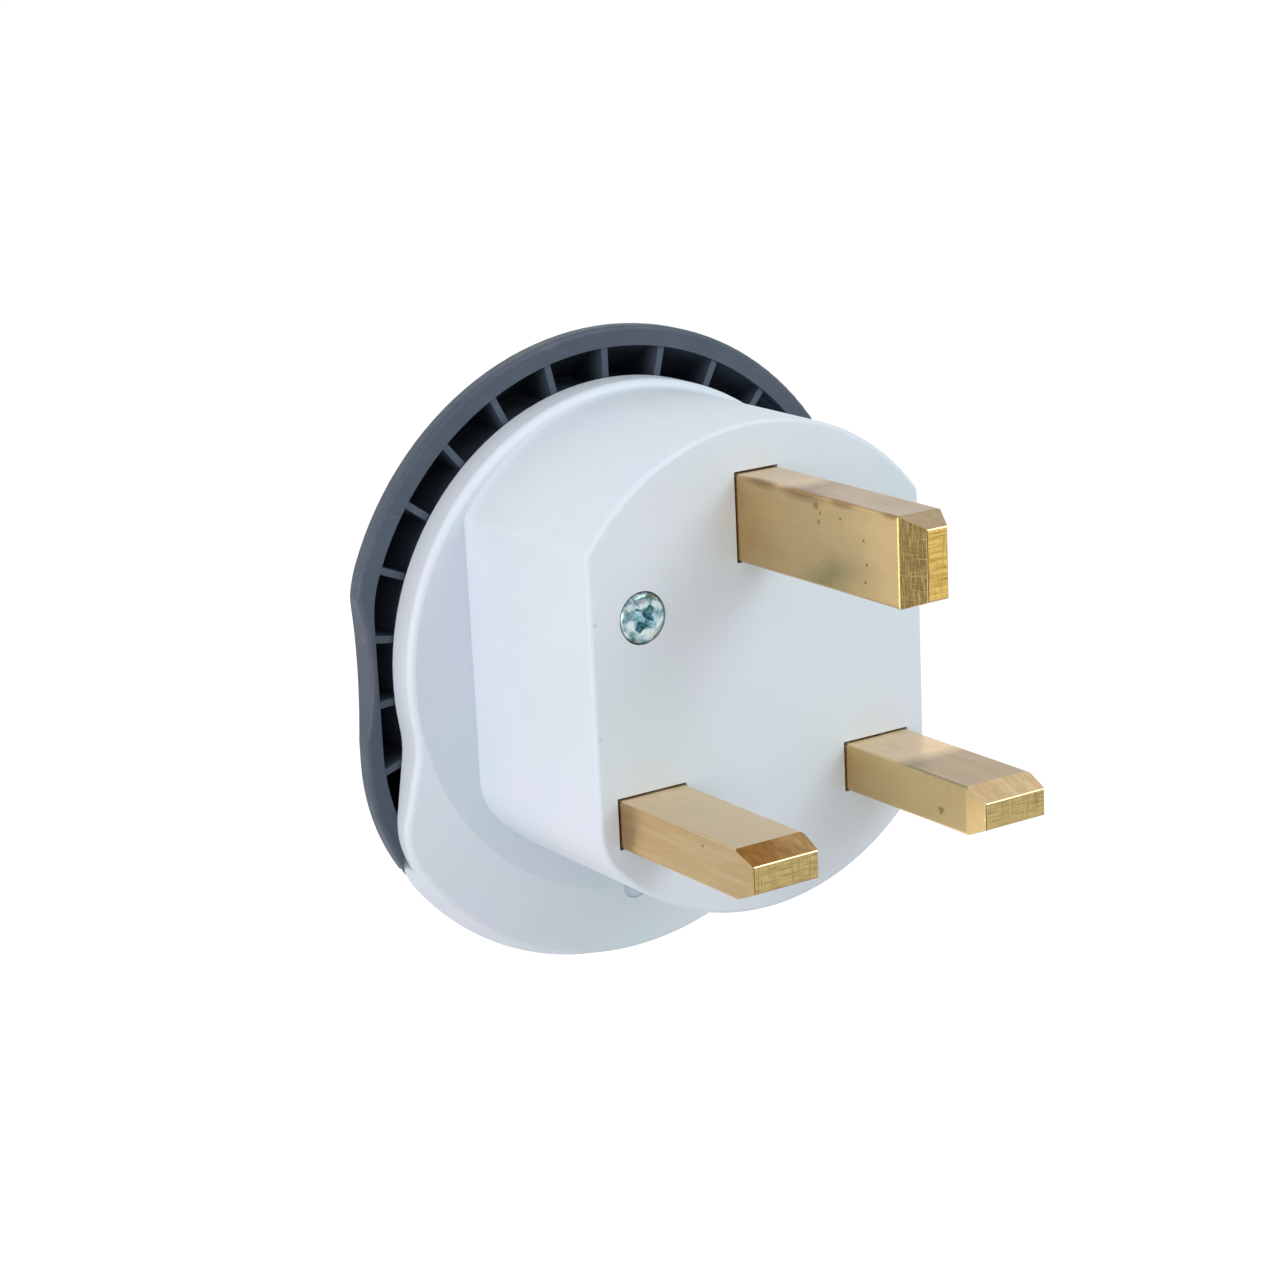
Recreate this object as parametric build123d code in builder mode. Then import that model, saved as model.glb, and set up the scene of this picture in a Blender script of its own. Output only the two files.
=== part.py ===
from build123d import *
import math
import os

os.makedirs("parts", exist_ok=True)

# Plug adapter: a three-pin plug on one side and a flat socket face on the other.
# Millimetres. X is across the plug and Z is up, with the earth pin on top.
# The plug's pins point to -Y and the socket face looks to +Y.
# The origin lies on the pin face, midway between the centres of the two lower pins.
# A depth is the distance behind the pin face, along +Y.

# Pins
line_spacing = 22.2
earth_above_line = 22.6
line_pin_width = 6.35
line_pin_thickness = 4.0
line_pin_length = 17.6
line_tip_width = 6.0
line_tip_thickness = 2.15
earth_pin_width = 4.0
earth_pin_height = 7.1
earth_pin_length = 22.5
earth_tip_width = 1.85
earth_tip_height = 5.45
tip_taper_length = 2.2
pin_edge_radius = 0.25
tip_edge_radius = 0.2
pin_hole_gap = 0.12
collar_overhang = 1.2
collar_inset = 0.35
collar_thickness = 1.5
stem_width = 4.4
stem_thickness = 3.2
spigot_radius = 1.2
peened_radius = 1.8
peened_thickness = 0.7

# Plug block of the rear shell: a round block with two flat sides, as wide as the lower pins need
pin_side_wall = 1.9
pin_corner_wall = 1.6
block_center_z = 9.9
block_depth = 18.0
block_top_corner_radius = 1.2
block_bottom_corner_radius = 5.5
block_face_radius = 0.4
front_wall = 2.5
round_wall = 1.5
side_wall = 1.6

# Flange of the rear shell: a round disc with a wider lobe below it
disc_center_z = 8.6
flange_step = 1.95
flat_margin = 0.55
disc_slope_degrees = 17.0
flange_thickness = 2.8
flange_edge_radius = 0.65
lobe_step = 3.25
lobe_side_step = 0.8
lobe_center_z = 6.0
waist_inset = 0.97
waist_z = 6.0
waist_radius = 8.0
lobe_corner_radius = 7.0
skirt_depth = 1.2
skirt_flare = 0.6
skirt_taper_degrees = 30.0
skirt_side_inset = 0.6
skirt_wall = 1.8
skirt_top_z = -1.0
dimple_radius = 1.5
dimple_depth = 0.6
dimple_x = -1.1
dimple_z = -12.7

# Cover on the socket side
cover_upper_step = 0.75
cover_upper_z = 8.8
cover_lower_step = 0.55
cover_lower_z = 6.0
cover_side_step = 2.0
cover_upper_corner_radius = 10.0
cover_lower_corner_radius = 18.0
cover_rim_height = 1.3
cover_taper_degrees = 38.0
cover_taper_depth = 6.0
cover_wall = 1.7
cover_side_wall = 1.45
cover_face_wall = 2.2
cover_face_chamfer = 0.8
cover_rim_radius = 0.4
rib_reach = 4.3
rib_root = 0.3
grip_radius = 20.5
grip_depth = 0.95
grip_z = 10.2
step_gap = 0.3
ring_wall = 1.2
rib_thickness = 0.6
rib_pitch_degrees = 13.5
ribs_each_side = 8
rib_drop = 0.2
barrier_thickness = 1.0
barrier_x = 3.9
barrier_height = 10.0
barrier_length = 26.0

# Socket openings, centred on the line of the two poles
pole_z = 9.0
earth_drop = 12.0
round_pin_spacing = 19.0
round_hole_radius = 2.6
blade_spacing = 12.7
blade_slot_width = 2.1
blade_slot_height = 8.2
earth_hole_radius = 2.7

# Inner carrier, contacts and fuse
strip = 0.4
carrier_thickness = 2.0
fit_gap = 0.25
fuse_radius = 3.15
fuse_tube_radius = 2.95
fuse_length = 25.4
fuse_cap_length = 6.0
fuse_cap_wall = 0.5
fuse_center_z = 5.2
fuse_front_gap = 0.35
clip_width = 5.0
clip_gap = 0.05
clip_opening_depth = 4.2
rivet_x = -6.2
rivet_radius = 1.0
rivet_head_radius = 1.6
rivet_head_thickness = 0.5
rivet_clearance = 0.8
spigot_gap = 0.1
contact_height = 7.0
contact_inner_x = 5.2
contact_outer_x = 12.3
contact_tip_gap = 1.0
tab_width = 3.6
earth_strap_width = 4.8
earth_leaf_x = 2.75
earth_leaf_height = 6.0

# Screws through the pin face
screw_x = 11.27
screw_z = 16.2
screw_head_radius = 2.02
screw_head_height = 1.5
screw_head_proud = 0.3
screw_seat_gap = 0.12
screw_head_chamfer = 0.4
screw_shank_radius = 1.15
screw_length = 20.0
screw_clearance = 0.2
boss_radius = 2.6
recess_width = 0.62
recess_span = 2.5
recess_depth = 1.0
recess_turn_degrees = 38.0

# Sizes, depths and places worked out from the values above
line_x = line_spacing / 2
line_corner_x = line_x + line_pin_width / 2
line_corner_z = -line_pin_thickness / 2
block_half_width = line_corner_x + pin_side_wall
block_radius = math.hypot(line_corner_x, block_center_z - line_corner_z) + pin_corner_wall
flange_radius = block_radius + flange_step
disc_flat_radius = flange_radius - flat_margin
lobe_radius = flange_radius + lobe_step
lobe_half_width = flange_radius + lobe_side_step
waist_half_width = flange_radius - waist_inset
cover_upper_radius = lobe_radius + cover_upper_step
cover_lower_radius = lobe_radius + cover_lower_step
cover_half_width = lobe_half_width + cover_side_step
grip_x = cover_half_width - grip_depth + grip_radius
ring_radius = block_radius + ring_wall
seam_depth = block_depth + flange_thickness
skirt_end = seam_depth + skirt_depth
rim_end = seam_depth + cover_rim_height
cover_face_depth = rim_end + cover_taper_depth
cover_floor_depth = cover_face_depth - cover_face_wall
fuse_axis_depth = front_wall + fuse_front_gap + fuse_radius
clip_radius = fuse_radius + clip_gap + strip
carrier_front = fuse_axis_depth + clip_radius
carrier_back = carrier_front + carrier_thickness
contact_back = carrier_back + strip
strap_front = carrier_front - strip
leaf_end = cover_floor_depth - contact_tip_gap
earth_pole_z = pole_z - earth_drop
round_pin_x = round_pin_spacing / 2
blade_x = blade_spacing / 2
rib_count = 2 * ribs_each_side + 1
rib_fan = 2 * ribs_each_side * rib_pitch_degrees
beyond = 4 * lobe_radius
lower_clip_z = fuse_center_z - fuse_length / 2 + fuse_cap_length / 2
upper_clip_z = fuse_center_z + fuse_length / 2 - fuse_cap_length / 2
strap_height = stem_width / 2 - lower_clip_z + clip_width / 2
rivet_z = pole_z + contact_height / 2 + rivet_head_radius + rivet_clearance
head_seat = screw_head_height - screw_head_proud
screw_tip = head_seat + screw_length
screw_spots = [(-screw_x, screw_z), (screw_x, screw_z)]


def at_depth(depth):
    """Sketch plane at a depth behind the pin face, seen from the pins: X right and Z up."""
    return Plane.XZ.offset(-depth)


def block_outline(inset_round=0.0, inset_side=0.0):
    """Round outline cut by a flat on each side."""
    with Locations((0, block_center_z)):
        Circle(block_radius - inset_round)
        Rectangle(2 * (block_half_width - inset_side), 2 * block_radius, mode=Mode.INTERSECT)


def lobed_outline(grow=0.0, side_inset=0.0):
    """Outline of the flange: the disc above, the wider lobe below and a waist between."""
    low_radius = lobe_radius + grow
    shoulder = lobe_half_width - side_inset
    corner_z = lobe_center_z - math.sqrt(low_radius**2 - shoulder**2)
    waist = waist_half_width - side_inset
    with BuildLine() as lobe:
        Polyline((-shoulder, corner_z), (-waist, waist_z), (waist, waist_z), (shoulder, corner_z))
        ThreePointArc((-shoulder, corner_z), (0, lobe_center_z - low_radius), (shoulder, corner_z))
    make_face(lobe.edges())
    with Locations((0, disc_center_z)):
        Circle(flange_radius - side_inset)


def soften_lobe(sketch):
    """Round the shoulders of the lobe and fill the waist of the current outline."""
    fillet(sketch.vertices().filter_by(lambda v: v.Y < 0), lobe_corner_radius)
    fillet(sketch.vertices().filter_by(lambda v: 0 < v.Y < waist_z), waist_radius)


def cover_outline(inset_round=0.0, inset_side=0.0):
    """Outline of the cover: two large arcs joined by flat sides."""
    with Locations((0, cover_upper_z)):
        Circle(cover_upper_radius - inset_round)
    with Locations((0, cover_lower_z)):
        Circle(cover_lower_radius - inset_round)
    Rectangle(2 * (cover_half_width - inset_side), beyond, mode=Mode.INTERSECT)


def soften_cover(sketch):
    """Round the corners where the flat sides of the cover meet its two arcs."""
    fillet(sketch.vertices().group_by(Axis.Y)[-1], cover_upper_corner_radius)
    fillet(sketch.vertices().group_by(Axis.Y)[0], cover_lower_corner_radius)


# Dish that gives the flange its flat middle and the slope of its lobe
with BuildPart() as dish:
    with BuildSketch(Plane.YZ):
        slope_width = flange_thickness / math.tan(math.radians(disc_slope_degrees))
        with BuildLine():
            Polyline(
                (block_depth, disc_center_z),
                (block_depth, disc_center_z + disc_flat_radius),
                (seam_depth, disc_center_z + disc_flat_radius + slope_width),
                (seam_depth, disc_center_z),
                close=True,
            )
        make_face()
    revolve(axis=Axis((0, 0, disc_center_z), (0, 1, 0)))

# Skirt behind the lobe: it flares to the back and stands in a step of the cover
with BuildPart() as skirt:
    with BuildSketch(at_depth(skirt_end)) as skirt_outline:
        lobed_outline(skirt_flare, skirt_side_inset)
        soften_lobe(skirt_outline)
    extrude(amount=skirt_depth, taper=skirt_taper_degrees)
    with BuildSketch(at_depth(skirt_end)):
        lobed_outline(skirt_flare - skirt_wall, skirt_side_inset + skirt_wall)
        with Locations((0, disc_center_z)):
            Circle(flange_radius + step_gap)
        with Locations((0, skirt_top_z)):
            Rectangle(beyond, beyond, align=(Align.CENTER, Align.MIN))
    extrude(amount=skirt_depth, mode=Mode.SUBTRACT)

# Rear shell: flange, skirt, plug block and screw bosses in one moulding
with BuildPart() as rear_shell:
    with BuildSketch(at_depth(seam_depth)) as flange_outline:
        lobed_outline()
        soften_lobe(flange_outline)
    extrude(amount=flange_thickness)
    add(dish.part, mode=Mode.INTERSECT)
    slope_edges = rear_shell.edges().filter_by(Axis.Y, reverse=True)
    fillet(
        slope_edges.filter_by(lambda e: block_depth + strip / 8 < e.center().Y < seam_depth - strip / 2),
        flange_edge_radius,
    )
    add(skirt.part)
    with BuildSketch(at_depth(seam_depth - strip)) as block_profile:
        block_outline()
        fillet(block_profile.vertices().group_by(Axis.Y)[-1], block_top_corner_radius)
        fillet(block_profile.vertices().group_by(Axis.Y)[0], block_bottom_corner_radius)
    extrude(amount=seam_depth - strip)
    fillet(rear_shell.edges().filter_by(lambda e: e.center().Y < 0.01), block_face_radius)
    with BuildSketch(at_depth(seam_depth)):
        block_outline(round_wall, side_wall)
    extrude(amount=seam_depth - front_wall, mode=Mode.SUBTRACT)
    with BuildSketch(at_depth(carrier_front)):
        with Locations(*screw_spots):
            Circle(boss_radius)
    extrude(amount=carrier_front - front_wall)
    with Locations(at_depth(0)):
        with Locations(*[(x, z, 0) for x, z in screw_spots]):
            CounterBoreHole(
                screw_shank_radius + screw_clearance,
                screw_head_radius + screw_seat_gap,
                head_seat,
                carrier_front,
            )
    with BuildSketch(at_depth(front_wall)):
        with Locations((-line_x, 0), (line_x, 0)):
            Rectangle(line_pin_width + 2 * pin_hole_gap, line_pin_thickness + 2 * pin_hole_gap)
        with Locations((0, earth_above_line)):
            Rectangle(earth_pin_width + 2 * pin_hole_gap, earth_pin_height + 2 * pin_hole_gap)
    extrude(amount=front_wall, mode=Mode.SUBTRACT)
    with BuildSketch(at_depth(block_depth + dimple_depth)):
        with Locations((dimple_x, dimple_z)):
            Circle(dimple_radius)
    extrude(amount=dimple_depth, mode=Mode.SUBTRACT)
rear_shell.part.label = "rear_shell"
export_step(rear_shell.part, "parts/rear_shell.step")

# Outside of the cover: straight rim, then a steep taper down to the flat socket face, and a grip
# scooped straight into each side
with BuildPart() as cover_body:
    with BuildSketch(at_depth(rim_end)) as rim_outline:
        cover_outline()
        soften_cover(rim_outline)
    extrude(amount=cover_rim_height)
    extrude(rim_outline.sketch, amount=-cover_taper_depth, taper=cover_taper_degrees)
    chamfer(cover_body.faces().sort_by(Axis.Y)[-1].edges(), cover_face_chamfer)
    with BuildSketch(at_depth(cover_face_depth)):
        with Locations((-grip_x, grip_z), (grip_x, grip_z)):
            Circle(grip_radius)
    extrude(amount=cover_face_depth - seam_depth, mode=Mode.SUBTRACT)
    fillet(cover_body.faces().sort_by(Axis.Y)[0].edges(), cover_rim_radius)

# Ribs across the groove behind the rim, and the guard walls between the contacts
with BuildPart() as cover_ribs:
    with BuildSketch(at_depth(cover_floor_depth)):
        with Locations((0, cover_upper_z)):
            with PolarLocations(ring_radius - rib_root, rib_count, 90 - rib_fan / 2, rib_fan, endpoint=True):
                Rectangle(rib_root + rib_reach, rib_thickness, align=(Align.MIN, Align.CENTER))
    extrude(amount=cover_floor_depth - seam_depth - rib_drop)
    add(cover_body.part, mode=Mode.INTERSECT)
    with BuildSketch(at_depth(cover_floor_depth)):
        with Locations((-barrier_x, disc_center_z), (barrier_x, disc_center_z)):
            Rectangle(barrier_thickness, barrier_length)
    extrude(amount=barrier_height)

with BuildPart() as front_cover:
    add(cover_body.part)
    with BuildSketch(at_depth(rim_end)) as groove:
        cover_outline(cover_wall, cover_side_wall)
        soften_cover(groove)
    extrude(amount=cover_rim_height, mode=Mode.SUBTRACT)
    extrude(groove.sketch, amount=rim_end - cover_floor_depth, taper=cover_taper_degrees, mode=Mode.SUBTRACT)
    with BuildSketch(at_depth(cover_floor_depth)):
        with Locations((0, disc_center_z)):
            Circle(ring_radius)
            Circle(block_radius, mode=Mode.SUBTRACT)
    extrude(amount=cover_floor_depth - seam_depth)
    add(cover_ribs.part)
    with BuildSketch(at_depth(skirt_end + step_gap)) as skirt_step:
        lobed_outline(skirt_flare + step_gap, skirt_side_inset - step_gap)
        soften_lobe(skirt_step)
        with Locations((0, skirt_top_z + step_gap)):
            Rectangle(beyond, beyond, align=(Align.CENTER, Align.MIN), mode=Mode.SUBTRACT)
        with Locations((0, disc_center_z)):
            Circle(flange_radius, mode=Mode.SUBTRACT)
    extrude(amount=skirt_depth + step_gap, mode=Mode.SUBTRACT)
    with BuildSketch(at_depth(cover_floor_depth)):
        with Locations(*screw_spots):
            Circle(boss_radius)
    extrude(amount=cover_floor_depth - carrier_back)
    with BuildSketch(at_depth(screw_tip + fit_gap)):
        with Locations(*screw_spots):
            Circle(screw_shank_radius)
    extrude(amount=screw_tip + fit_gap - carrier_back, mode=Mode.SUBTRACT)
    with BuildSketch(at_depth(cover_face_depth)):
        with Locations((-round_pin_x, pole_z), (round_pin_x, pole_z)):
            Circle(round_hole_radius)
        with Locations((-blade_x, pole_z), (blade_x, pole_z)):
            Rectangle(blade_slot_width, blade_slot_height)
        with Locations((0, earth_pole_z)):
            Circle(earth_hole_radius)
    extrude(amount=cover_face_wall, mode=Mode.SUBTRACT)
front_cover.part.label = "front_cover"
export_step(front_cover.part, "parts/front_cover.step")


def pin(name, place, size, tip_size, length, collar_sides, stem_end):
    """Plug pin: drawn bar with a bevelled tip, collar behind the front wall, stem and peened spigot."""
    x, z = place
    left, right, low, high = collar_sides
    with BuildPart() as piece:
        with BuildSketch(at_depth(front_wall)):
            with Locations((x, z)):
                RectangleRounded(size[0], size[1], pin_edge_radius)
        extrude(amount=front_wall + length)
        with BuildSketch(at_depth(-length)):
            with Locations((x, z)):
                Rectangle(tip_size[0], tip_size[1])
        with BuildSketch(at_depth(tip_taper_length - length)):
            with Locations((x, z)):
                Rectangle(size[0], size[1])
        with BuildSketch(at_depth(front_wall)):
            with Locations((x, z)):
                Rectangle(size[0], size[1])
        loft(ruled=True, mode=Mode.INTERSECT)
        fillet(piece.faces().sort_by(Axis.Y)[0].edges(), tip_edge_radius)
        with BuildSketch(at_depth(front_wall + collar_thickness)):
            with Locations((x + (right - left) / 2, z + (high - low) / 2)):
                Rectangle(size[0] + left + right, size[1] + low + high)
        extrude(amount=collar_thickness)
        with BuildSketch(at_depth(stem_end)):
            with Locations((x, z)):
                Rectangle(stem_width, stem_thickness)
        extrude(amount=stem_end - front_wall - collar_thickness)
        spigot_end = stem_end + strip + carrier_thickness
        with BuildSketch(at_depth(spigot_end + peened_thickness)):
            with Locations((x, z)):
                Circle(spigot_radius)
        extrude(amount=spigot_end + peened_thickness - stem_end)
        with BuildSketch(at_depth(spigot_end + peened_thickness)):
            with Locations((x, z)):
                Circle(peened_radius)
        extrude(amount=peened_thickness)
    piece.part.label = name
    export_step(piece.part, f"parts/{name}.step")


line_size = (line_pin_width, line_pin_thickness)
line_tip = (line_tip_width, line_tip_thickness)
earth_size = (earth_pin_width, earth_pin_height)
earth_tip = (earth_tip_width, earth_tip_height)
line_collar = (-collar_inset, collar_overhang, -collar_inset, collar_overhang)
neutral_collar = (collar_overhang, -collar_inset, -collar_inset, collar_overhang)
earth_collar = (collar_overhang, collar_overhang, 0, collar_overhang)
line_place = (-line_x, 0)
neutral_place = (line_x, 0)
earth_place = (0, earth_above_line)
pin("line_pin", line_place, line_size, line_tip, line_pin_length, line_collar, strap_front)
pin("neutral_pin", neutral_place, line_size, line_tip, line_pin_length, neutral_collar, carrier_front)
pin("earth_pin", earth_place, earth_size, earth_tip, earth_pin_length, earth_collar, carrier_front)

# Insulating plate that carries the contacts and the fuse clips, clamped between the screw bosses
with BuildPart() as contact_carrier:
    with BuildSketch(at_depth(carrier_back)):
        block_outline(round_wall + fit_gap, side_wall + fit_gap)
        with Locations(*screw_spots):
            Circle(screw_shank_radius + screw_clearance, mode=Mode.SUBTRACT)
        with Locations((-line_x, 0), (line_x, 0), (0, earth_above_line)):
            Circle(spigot_radius + spigot_gap, mode=Mode.SUBTRACT)
        with Locations((rivet_x, rivet_z)):
            Circle(rivet_radius + spigot_gap, mode=Mode.SUBTRACT)
    extrude(amount=carrier_thickness)
contact_carrier.part.label = "contact_carrier"
export_step(contact_carrier.part, "parts/contact_carrier.step")

# Live contact: plate behind the carrier with two leaves, riveted to the upper fuse clip
contact_middle = (contact_inner_x + contact_outer_x) / 2
contact_span = contact_outer_x - contact_inner_x
with BuildPart() as line_contact:
    with BuildSketch(at_depth(contact_back)):
        with Locations((-contact_middle, pole_z)):
            Rectangle(contact_span, contact_height)
        with Locations((rivet_x, (pole_z + rivet_z) / 2)):
            Rectangle(tab_width, rivet_z - pole_z + tab_width)
        with Locations((rivet_x, rivet_z)):
            Circle(rivet_radius + spigot_gap, mode=Mode.SUBTRACT)
    extrude(amount=strip)
    with BuildSketch(at_depth(leaf_end)):
        with Locations((-contact_inner_x - strip / 2, pole_z), (-contact_outer_x + strip / 2, pole_z)):
            Rectangle(strip, contact_height)
    extrude(amount=leaf_end - carrier_back)
line_contact.part.label = "line_contact"
export_step(line_contact.part, "parts/line_contact.step")

# Neutral contact: the mirrored leaves on a plate held by the neutral pin's spigot
with BuildPart() as neutral_contact:
    with BuildSketch(at_depth(contact_back)):
        with Locations((contact_middle, pole_z)):
            Rectangle(contact_span, contact_height)
        with Locations((line_x, pole_z / 2)):
            Rectangle(tab_width, pole_z)
        with Locations((line_x, 0)):
            Rectangle(stem_width, stem_width)
            Circle(spigot_radius + spigot_gap, mode=Mode.SUBTRACT)
    extrude(amount=strip)
    with BuildSketch(at_depth(leaf_end)):
        with Locations((contact_inner_x + strip / 2, pole_z), (contact_outer_x - strip / 2, pole_z)):
            Rectangle(strip, contact_height)
    extrude(amount=leaf_end - carrier_back)
neutral_contact.part.label = "neutral_contact"
export_step(neutral_contact.part, "parts/neutral_contact.step")

# Earth contact: a long strap from the earth pin down to the leaves behind the earth hole
with BuildPart() as earth_contact:
    with BuildSketch(at_depth(contact_back)):
        with Locations((0, (earth_above_line + earth_pole_z) / 2)):
            Rectangle(earth_strap_width, earth_above_line - earth_pole_z + earth_strap_width)
        with Locations((0, earth_pole_z)):
            Rectangle(2 * (earth_leaf_x + strip), earth_leaf_height)
        with Locations((0, earth_above_line)):
            Circle(spigot_radius + spigot_gap, mode=Mode.SUBTRACT)
    extrude(amount=strip)
    with BuildSketch(at_depth(leaf_end)):
        with Locations((-earth_leaf_x - strip / 2, earth_pole_z), (earth_leaf_x + strip / 2, earth_pole_z)):
            Rectangle(strip, earth_leaf_height)
    extrude(amount=leaf_end - carrier_back)
earth_contact.part.label = "earth_contact"
export_step(earth_contact.part, "parts/earth_contact.step")


def clip_ring():
    """Ring round one cap of the fuse, open towards the pin face."""
    with Locations((0, fuse_axis_depth)):
        Circle(clip_radius)
        Circle(clip_radius - strip, mode=Mode.SUBTRACT)
    with Locations((0, clip_opening_depth - clip_radius)):
        Rectangle(2 * clip_radius, 2 * clip_radius, mode=Mode.SUBTRACT)


# Lower fuse clip, pressed in one piece with the strap to the live pin
with BuildPart() as fuse_clip_lower:
    with BuildSketch(Plane.XY.offset(lower_clip_z - clip_width / 2)):
        clip_ring()
    extrude(amount=clip_width)
    with BuildSketch(at_depth(carrier_front)):
        with Locations((0, stem_width / 2)):
            Rectangle(2 * fuse_radius, strap_height, align=(Align.CENTER, Align.MAX))
        with Locations((-line_x / 2, 0)):
            Rectangle(line_x + stem_width, stem_width)
        with Locations((-line_x, 0)):
            Circle(spigot_radius + spigot_gap, mode=Mode.SUBTRACT)
    extrude(amount=strip)
    with BuildSketch(Plane.XY.offset(fuse_center_z - fuse_length / 2)):
        with Locations((0, fuse_axis_depth)):
            Circle(fuse_radius + clip_gap)
    extrude(amount=fuse_length, mode=Mode.SUBTRACT)
fuse_clip_lower.part.label = "fuse_clip_lower"
export_step(fuse_clip_lower.part, "parts/fuse_clip_lower.step")

# Upper fuse clip with the tab that takes the rivet of the live contact
with BuildPart() as fuse_clip_upper:
    with BuildSketch(Plane.XY.offset(upper_clip_z - clip_width / 2)):
        clip_ring()
    extrude(amount=clip_width)
    with BuildSketch(at_depth(carrier_front)):
        with Locations((rivet_x / 2, upper_clip_z)):
            Rectangle(-rivet_x + tab_width, clip_width)
        with Locations((rivet_x, rivet_z)):
            Rectangle(tab_width, tab_width)
            Circle(rivet_radius + spigot_gap, mode=Mode.SUBTRACT)
    extrude(amount=strip)
    with BuildSketch(Plane.XY.offset(fuse_center_z - fuse_length / 2)):
        with Locations((0, fuse_axis_depth)):
            Circle(fuse_radius + clip_gap)
    extrude(amount=fuse_length, mode=Mode.SUBTRACT)
fuse_clip_upper.part.label = "fuse_clip_upper"
export_step(fuse_clip_upper.part, "parts/fuse_clip_upper.step")

# Rivet through the upper clip, the carrier and the live contact
with BuildPart() as contact_rivet:
    with BuildSketch(at_depth(contact_back + rivet_head_thickness)):
        with Locations((rivet_x, rivet_z)):
            Circle(rivet_radius)
    extrude(amount=contact_back - strap_front + 2 * rivet_head_thickness)
    with BuildSketch(at_depth(contact_back + rivet_head_thickness), at_depth(strap_front)):
        with Locations((rivet_x, rivet_z)):
            Circle(rivet_head_radius)
    extrude(amount=rivet_head_thickness)
contact_rivet.part.label = "contact_rivet"
export_step(contact_rivet.part, "parts/contact_rivet.step")

# Fuse: ceramic tube and two metal end caps
with BuildPart() as fuse_tube:
    with BuildSketch(Plane.XY.offset(fuse_center_z)):
        with Locations((0, fuse_axis_depth)):
            Circle(fuse_tube_radius)
    extrude(amount=fuse_length / 2 - fuse_cap_wall, both=True)
fuse_tube.part.label = "fuse_tube"
export_step(fuse_tube.part, "parts/fuse_tube.step")

with BuildPart() as fuse_caps:
    with Locations((0, fuse_axis_depth, lower_clip_z), (0, fuse_axis_depth, upper_clip_z)):
        Cylinder(fuse_radius, fuse_cap_length)
    chamfer(fuse_caps.edges().group_by(Axis.Z)[0] + fuse_caps.edges().group_by(Axis.Z)[-1], fuse_cap_wall / 2)
    with Locations((0, fuse_axis_depth, fuse_center_z)):
        Cylinder(fuse_tube_radius, fuse_length - 2 * fuse_cap_wall, mode=Mode.SUBTRACT)
fuse_caps.part.label = "fuse_caps"
export_step(fuse_caps.part, "parts/fuse_caps.step")

# Two cross-recessed screws from the pin face into the cover's bosses
with BuildPart() as cover_screws:
    with BuildSketch(at_depth(head_seat)):
        with Locations(*screw_spots):
            Circle(screw_head_radius)
    extrude(amount=screw_head_height)
    chamfer(cover_screws.faces().group_by(Axis.Y)[0].edges(), screw_head_chamfer)
    with BuildSketch(at_depth(screw_tip)):
        with Locations(*screw_spots):
            Circle(screw_shank_radius)
    extrude(amount=screw_length)
    with BuildSketch(at_depth(recess_depth - screw_head_proud)):
        with Locations(*screw_spots):
            Rectangle(recess_span, recess_width, rotation=recess_turn_degrees)
            Rectangle(recess_width, recess_span, rotation=recess_turn_degrees)
    extrude(amount=recess_depth, mode=Mode.SUBTRACT)
cover_screws.part.label = "cover_screws"
export_step(cover_screws.part, "parts/cover_screws.step")
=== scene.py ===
# %% [markdown]
# # Plug adapter
# The object is a plug adapter: a white three-pin plug block with brass pins in front, and a dark ribbed
# cover with the socket behind it. The measured parts come ready in model.glb, in metres, with the
# pins pointing to -Y and the earth pin on top. This lesson gives them their finishes, models the screws
# as real screws, and sets up a plain studio.

# %% Load the measured parts
import math

import bmesh
import bpy
from mathutils import Euler, Matrix, Vector


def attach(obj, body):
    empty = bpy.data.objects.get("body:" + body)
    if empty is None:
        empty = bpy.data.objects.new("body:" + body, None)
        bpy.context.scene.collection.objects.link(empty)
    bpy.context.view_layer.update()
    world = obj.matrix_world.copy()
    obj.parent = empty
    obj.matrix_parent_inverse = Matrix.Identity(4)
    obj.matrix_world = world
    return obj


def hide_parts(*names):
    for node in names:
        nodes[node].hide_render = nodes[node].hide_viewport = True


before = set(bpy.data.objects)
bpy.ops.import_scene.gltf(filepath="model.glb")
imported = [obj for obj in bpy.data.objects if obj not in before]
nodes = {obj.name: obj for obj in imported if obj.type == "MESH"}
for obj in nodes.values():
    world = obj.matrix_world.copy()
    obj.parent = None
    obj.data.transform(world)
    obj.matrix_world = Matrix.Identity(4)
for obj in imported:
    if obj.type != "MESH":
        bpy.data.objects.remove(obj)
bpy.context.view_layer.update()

MM = 0.001
bpy.ops.object.select_all(action="DESELECT")
print("parts:", ", ".join(sorted(nodes)))

# %% [markdown]
# ## The camera
# The camera stands where the photograph was taken from: to the left of the plug, a little above it, and
# slightly rolled. Azimuth, elevation and roll are easier to read and to correct than a rotation matrix,
# so the rotation is worked out from them.

# %% Place the camera
camera_place = Vector((-146.20, -204.81, 81.83)) * MM
camera_azimuth = -33.31
camera_elevation = 15.36
camera_roll = 2.69
camera_lens = 92.28
camera_film = 36
nearest, furthest = 0.01, 50

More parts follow.
